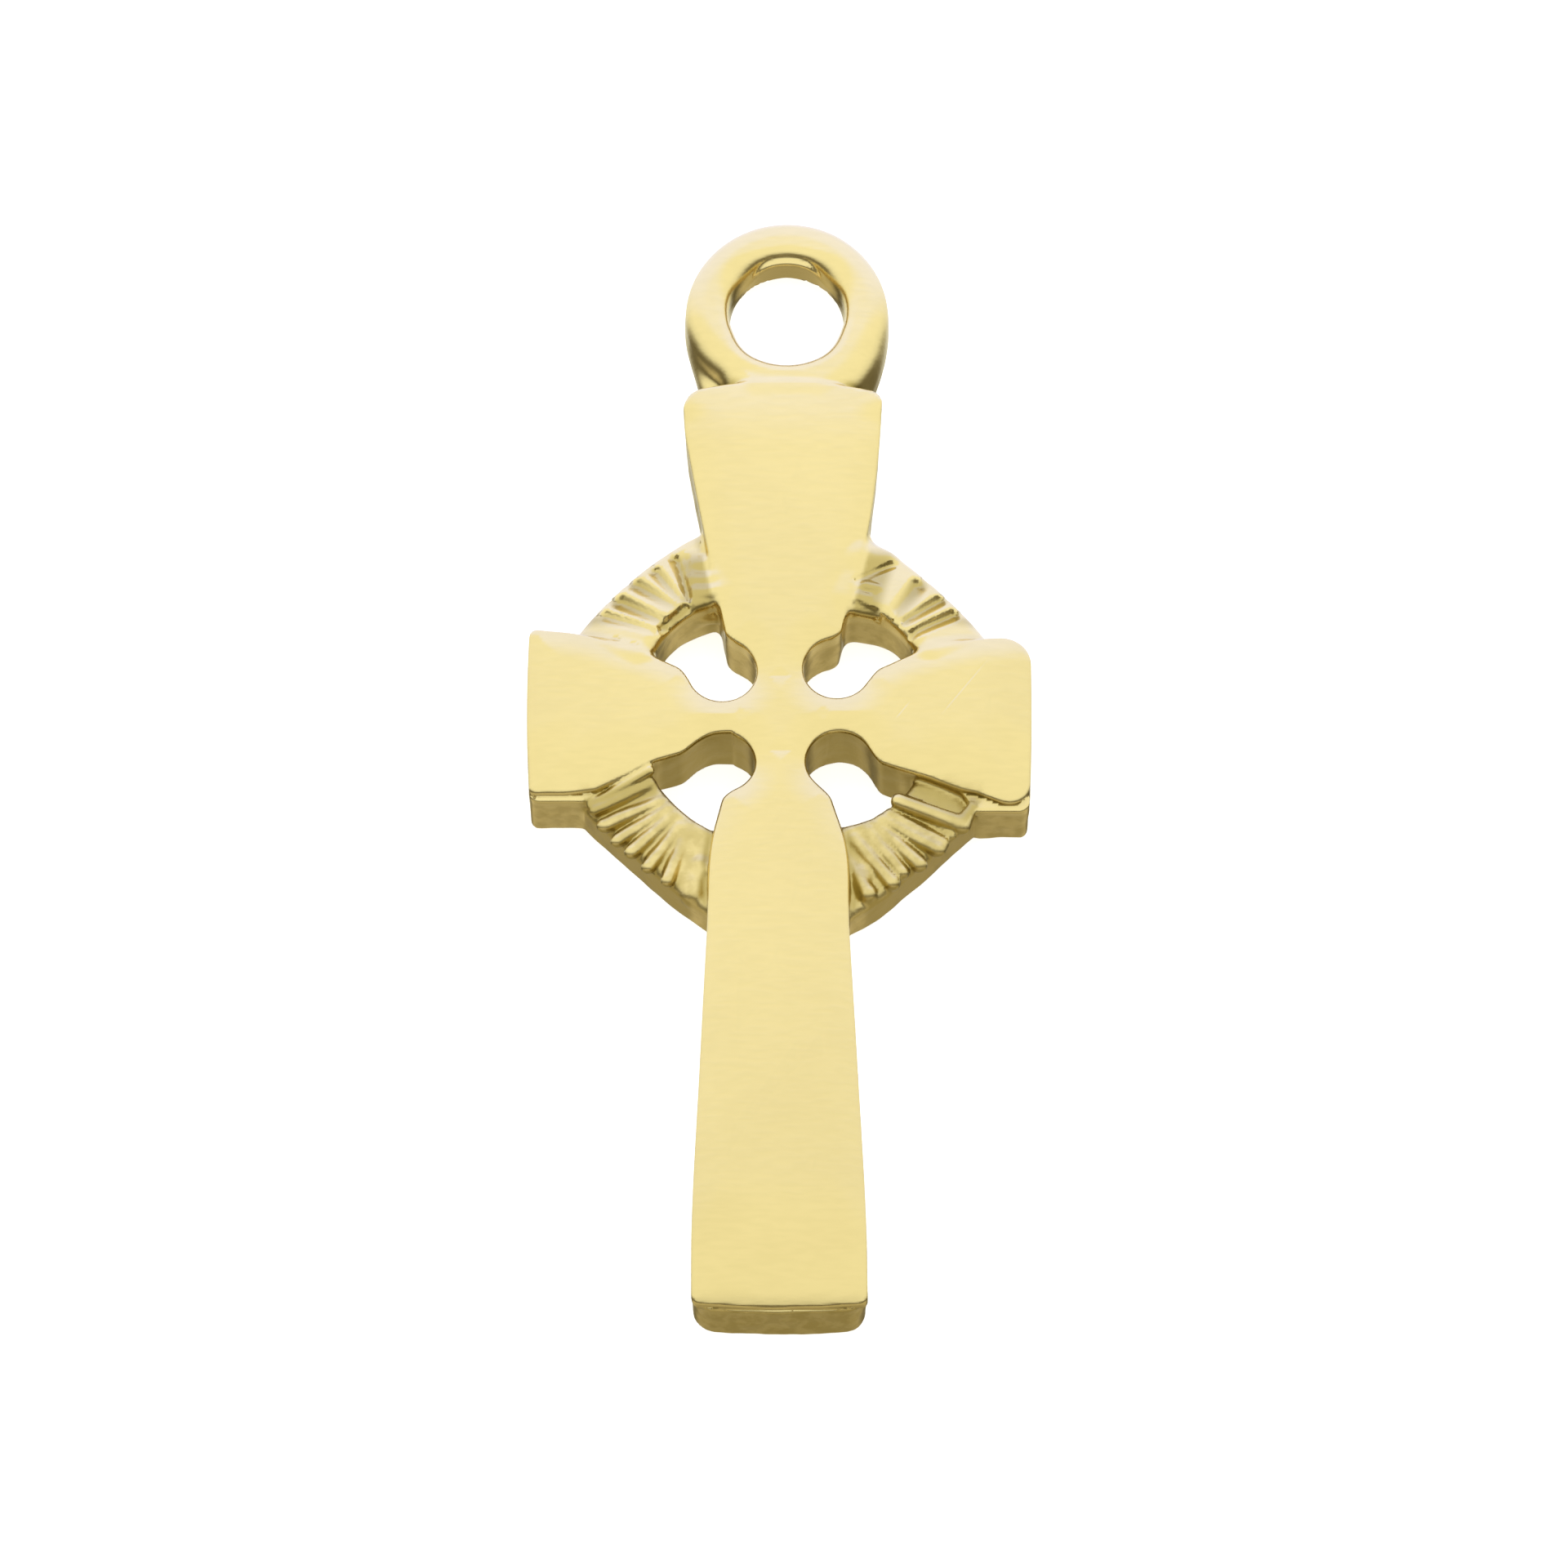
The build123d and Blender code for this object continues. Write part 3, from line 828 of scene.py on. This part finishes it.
def depth_at(sizes, points, handful=3000):
    """The depth at each point, worked out a handful of neighbours at a time."""
    handfuls = [points[start : start + handful] for start in range(0, len(points), handful)]
    return np.concatenate([pendant_depth(sizes, *few.T) for few in handfuls])


def slope_at(sizes, points, step=0.004):
    """How the depth changes at each point, along x, y and z."""
    slopes = []
    for axis in range(3):
        shift = np.zeros(3)
        shift[axis] = step
        rise = depth_at(sizes, points + shift) - depth_at(sizes, points - shift)
        slopes.append(rise / (2.0 * step))
    return np.stack(slopes, axis=1)


def drawn_to_skin(sizes, points, fine, rounds=3, least_steep=0.05):
    """The points moved on to the skin, and which way is out of the metal there."""
    for _ in range(rounds):
        slope = slope_at(sizes, points)
        depth = depth_at(sizes, points)
        steep = np.maximum((slope**2).sum(axis=1), least_steep)
        move = -(depth / steep)[:, None] * slope
        points = points + np.clip(move, -fine / 2.0, fine / 2.0)
    slope = slope_at(sizes, points)
    return points, slope / np.maximum(np.linalg.norm(slope, axis=1), TINY)[:, None]


def hollowness(sizes, points, outward, reach=0.22):
    """How hollow the skin is round each point, for painted shade: one deep in a corner, nothing in the
    open.
    """
    room = depth_at(sizes, points + outward * reach) / reach
    return np.clip(1.0 - room, 0.0, 1.0)


def skin_mesh(name, sizes, fine):
    """A mesh of the pendant's skin, with its true normals, its painted shade and where it is unpolished."""
    places = grid_places(fine)
    grid = depth_grid(sizes, places)
    cells, number = skin_cells(grid)
    points = skin_points(grid, places, cells)
    quads = skin_quads(grid, number)
    points, outward = drawn_to_skin(sizes, points, fine)
    mesh = bpy.data.meshes.new(name)
    mesh.from_pydata((points * MM).tolist(), [], quads.tolist())
    notes = {
        # The hollow note is painted shade: darker where the skin is enclosed, and in the patches of painted
        # shade.
        "hollow": np.maximum(hollowness(sizes, points, outward), painted_shade_patches(sizes, points, outward)),
        "cast_skin": unpolished(sizes, *points.T, outward[:, 2]),
    }
    for key, values in notes.items():
        mesh.attributes.new(key, "FLOAT", "POINT").data.foreach_set("value", values)
    mesh.shade_smooth()
    mesh.normals_split_custom_set_from_vertices(outward.tolist())
    return mesh


class Value:
    """A socket of a shader that sums and products can be written with."""

    def __init__(self, sheet, socket):
        self.sheet = sheet
        self.socket = socket

    def maths(self, operation, *values):
        return self.sheet.add("Math", {"operation": operation}, dict(enumerate(values)))

    def __add__(self, other):
        return self.maths("ADD", self, other)

    def __mul__(self, other):
        return self.maths("MULTIPLY", self, other)

    def __sub__(self, other):
        return self.maths("SUBTRACT", self, other)

    def __rsub__(self, other):
        return self.maths("SUBTRACT", other, self)

    def __abs__(self):
        return self.maths("ABSOLUTE", self)

    __radd__ = __add__
    __rmul__ = __mul__

    def step(self, start, end):
        """From nothing at start to one at end, with no corner."""
        sockets = {"Value": self, "From Min": start, "From Max": end}
        return self.sheet.add("MapRange", {"interpolation_type": "SMOOTHSTEP"}, sockets)


class Sheet:
    """The nodes of one material or world."""

    def __init__(self, owner):
        owner.use_nodes = True
        self.tree = owner.node_tree
        self.tree.nodes.clear()

    def add(self, kind, settings=None, sockets=None, output=0):
        """A node of this kind with its settings and sockets filled, and one of its outputs."""
        node = self.tree.nodes.new("ShaderNode" + kind)
        for key, value in (settings or {}).items():
            if key == "stops":
                self.fill(node.color_ramp.elements, value)
            else:
                setattr(node, key, value)
        for key, value in (sockets or {}).items():
            if isinstance(value, Value):
                self.tree.links.new(value.socket, node.inputs[key])
            else:
                node.inputs[key].default_value = value
        return Value(self, node.outputs[output]) if node.outputs else None

    def fill(self, elements, stops):
        """A colour ramp's stops, each a place and a colour."""
        while len(elements) < len(stops):
            elements.new(1.0)
        for element, (place, tone) in zip(elements, stops):
            element.position = place
            element.color = solid(tone)

    def mix(self, part, first, second):
        """A colour between two others."""
        sockets = {0: part, 6: solid(first), 7: solid(second)}
        return self.add("Mix", {"data_type": "RGBA"}, sockets, output=2)

    def noise(self, vector, scale, detail):
        """A cloudy pattern, from nothing to one."""
        return self.add("TexNoise", None, {"Vector": vector, "Scale": scale, "Detail": detail})

    def surface(self, sockets):
        """The finished shader of a material."""
        shader = self.add("BsdfPrincipled", None, sockets)
        self.add("OutputMaterial", None, {"Surface": shader})

    def axes(self, vector):
        """The three numbers of a vector."""
        split = self.add("SeparateXYZ", None, {0: vector})
        return [Value(self, socket) for socket in split.socket.node.outputs]


def solid(tone):
    """A colour as a socket takes it."""
    return tone if isinstance(tone, Value) else (*tone, 1.0)


def scratch(x, y, start, end, width=0.00003):
    """A hairline over the front: one on the line, nothing beside it or where it has died out."""
    run = Vector(end) - Vector(start)
    along = run.normalized()
    beside = abs((x - start[0]) * along.y - (y - start[1]) * along.x)
    travel = (x - start[0]) * along.x + (y - start[1]) * along.y
    line = 1.0 - beside.step(0.0, width)
    begun = travel.step(0.0, run.length * 0.3)
    ended = travel.step(run.length * 0.6, run.length)
    return line * begun * (1.0 - ended)


# Hairline scratches on the right arm, each from start to end, in metres.
SCRATCHES = (
    ((0.00276, -0.00013), (0.00375, 0.00120)),
    ((0.00200, -0.00015), (0.00232, 0.00030)),
)


def gold(look):
    """Polished gold: even on the front, satin on the cast skin, with painted shade in the hollows, on the
    walls and low down.
    """
    material = bpy.data.materials.new("gold")
    sheet = Sheet(material)
    place = sheet.add("TexCoord", output=3)
    x, y, _ = sheet.axes(place)
    hollow, cast_skin = [
        sheet.add("Attribute", {"attribute_name": name}, output=2)
        for name in ("hollow", "cast_skin")
    ]
    brushed = sheet.add("VectorMath", {"operation": "MULTIPLY"}, {0: place, 1: (0.3, 1.0, 1.0)})
    cloud = sheet.noise(place, 420.0, 3.0)
    grain = sheet.noise(brushed, 9000.0, 3.0)
    skin = sheet.noise(place, 4200.0, 4.0)
    foot_wall = 1.0 - y.step(-0.011, -0.005)
    shaft = 1.0 - y.step(-0.011, -0.003)
    lower_half = 1.0 - y.step(0.0, 0.005)
    rightness = x.step(-0.003, 0.003)
    # Painted shade: the gold darkens towards the shade tone where the hollow note is high.
    tone = sheet.mix(hollow.step(0.05, 0.75), look.tone, look.hollow_tone)
    # On the cast skin: a mottle of its own darker tone, and painted shade on the walls, deeper towards the
    # foot and to the right.
    skin_mottle_and_shade = 0.05 + 0.40 * skin.step(0.35, 0.65) + (0.55 * foot_wall + 0.20 * rightness)
    tone = sheet.mix(cast_skin * skin_mottle_and_shade, tone, look.hollow_tone)
    specks = 0.08 * cloud.step(0.3, 0.75) + 0.05 * grain.step(0.3, 0.7)
    # Painted shade: the front is darker on its lower half, and more so along the shaft.
    wear_and_painted_shade = 0.05 * lower_half + 0.10 * shaft
    tone = sheet.mix(specks + wear_and_painted_shade, tone, look.hollow_tone)
    roughness = look.polish + (look.skin - look.polish) * cast_skin + 0.10 * (cloud - 0.5)
    first, second = [scratch(x, y, *ends) for ends in SCRATCHES]
    height = grain * look.grain_depth + skin * cast_skin * look.skin_depth
    height = height - (first + second) * look.scratch_depth
    bump = sheet.add("Bump", None, {"Strength": 1.0, "Distance": 1.0, "Height": height})
    sheet.surface({"Base Color": tone, "Metallic": 1.0, "Roughness": roughness, "Normal": bump})
    return material


class PENDANT_OT_cast(bpy.types.Operator):
    """Cast the pendant in one piece and polish it"""

    bl_idname = "pendant.cast"
    bl_label = "Cast the pendant"

    def execute(self, context):
        scene = context.scene
        keys = ("cross", "ring", "loop")
        sizes = SimpleNamespace(**{key: in_millimetres(getattr(scene, "pendant_" + key)) for key in keys})
        mesh = skin_mesh("pendant_casting", sizes, GRID_STEP)
        if not mesh.polygons:
            raise RuntimeError("The sizes leave no metal to cast")
        mesh.materials.append(gold(scene.pendant_gold))
        casting = bpy.data.objects.new("pendant_casting", mesh)
        scene.collection.objects.link(casting)
        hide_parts(PENDANT)
        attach(casting, "root")
        return {"FINISHED"}


def floor(look):
    """The pale surface that the pendant lies on."""
    mesh = bpy.data.meshes.new("floor")
    half = 1.5
    corners = [(-half, -half, 0), (half, -half, 0), (half, half, 0), (-half, half, 0)]
    mesh.from_pydata(corners, [], [range(len(corners))])
    material = bpy.data.materials.new("floor")
    sheet = Sheet(material)
    tone = solid(look.floor_tone)
    glow = {"Emission Color": tone, "Emission Strength": look.floor_glow}
    sheet.surface({"Base Color": tone, "Roughness": 0.9, **glow})
    mesh.materials.append(material)
    surface = bpy.data.objects.new("floor", mesh)
    surface.visible_glossy = False
    return surface


def soft_light(look):
    """A wide soft light, palest beyond the head, with a dark gap low on the foot's side."""
    world = bpy.data.worlds.new("soft_light")
    sheet = Sheet(world)
    direction = sheet.add("TexCoord", output=0)
    _, headward, up = sheet.axes(direction)
    low_beyond = (0.0 - up).step(0.0, 1.0) * headward.step(0.1, 0.6)
    lit = 0.375 * headward + 0.33 * up + 0.5 + low_beyond * look.beyond
    stops = [
        (0.00, [0.90 * part for part in look.below]),
        (0.10, look.below),
        (0.22, [1.30 * part for part in look.below]),
        (0.35, look.gap),
        (0.42, [1.5 * part for part in look.gap]),
        (0.56, [0.88 * part for part in look.overhead]),
        (0.70, look.overhead),
    ]
    around = sheet.add("ValToRGB", {"stops": stops}, {"Fac": lit})
    tone = sheet.mix(headward.step(0.45, 0.82), around, look.headward)
    background = sheet.add("Background", None, {"Color": tone, "Strength": 1.0})
    sheet.add("OutputWorld", None, {"Surface": background})
    return world


def camera(look, target):
    """A camera far off, high above the foot's side."""
    lens = bpy.data.cameras.new("camera")
    lens.type = "ORTHO"
    lens.ortho_scale = look.field
    lens.clip_start = 0.01
    lens.clip_end = 2.0
    eye = bpy.data.objects.new("camera", lens)
    tilt = math.pi / 2.0 - look.view_elevation
    eye.rotation_euler = (tilt, 0.0, 0.0)
    eye.location = target + Vector((0.0, -math.sin(tilt), math.cos(tilt))) * look.view_distance
    return eye


class PENDANT_OT_stage(bpy.types.Operator):
    """Lay the pendant on a pale surface under a soft light, with the camera above the foot"""

    bl_idname = "pendant.stage"
    bl_label = "Set the stage"

    def execute(self, context):
        scene = context.scene
        look = scene.pendant_studio
        surface = floor(look)
        view_middle = Vector((0.04, -1.46, 1.40)) * MM
        eye = camera(look, view_middle)
        for thing in (surface, eye):
            scene.collection.objects.link(thing)
        scene.camera = eye
        scene.world = soft_light(look)
        scene.view_settings.view_transform = "Standard"
        return {"FINISHED"}


class PENDANT_PT_sidebar(bpy.types.Panel):
    """The steps and sizes of the pendant"""

    bl_idname = "PENDANT_PT_sidebar"
    bl_label = "Celtic cross pendant"
    bl_space_type = "VIEW_3D"
    bl_region_type = "UI"
    bl_category = "Pendant"

    def draw(self, context):
        for step in STEPS:
            self.layout.operator(step.bl_idname)
        for key in GROUPS:
            group = getattr(context.scene, key)
            section = self.layout.column(heading=key)
            for name in group.bl_rna.properties.keys():
                if name not in ("rna_type", "name"):
                    section.prop(group, name)


GROUPS = {
    "pendant_cross": CrossSizes,
    "pendant_ring": RingSizes,
    "pendant_loop": LoopSizes,
    "pendant_gold": GoldLook,
    "pendant_studio": StudioLook,
}
STEPS = (PENDANT_OT_cast, PENDANT_OT_stage)
CLASSES = (*GROUPS.values(), *STEPS, PENDANT_PT_sidebar)


def register():
    """Makes the sizes, the steps and the panel known to Blender."""
    for cls in CLASSES:
        bpy.utils.register_class(cls)
    for key, group in GROUPS.items():
        setattr(bpy.types.Scene, key, bpy.props.PointerProperty(type=group))


def unregister():
    """Takes them away again."""
    for key in GROUPS:
        delattr(bpy.types.Scene, key)
    for cls in reversed(CLASSES):
        bpy.utils.unregister_class(cls)


def main():
    """Casts the pendant and sets the stage."""
    register()
    bpy.ops.pendant.cast()
    bpy.ops.pendant.stage()


if __name__ == "__main__":
    main()
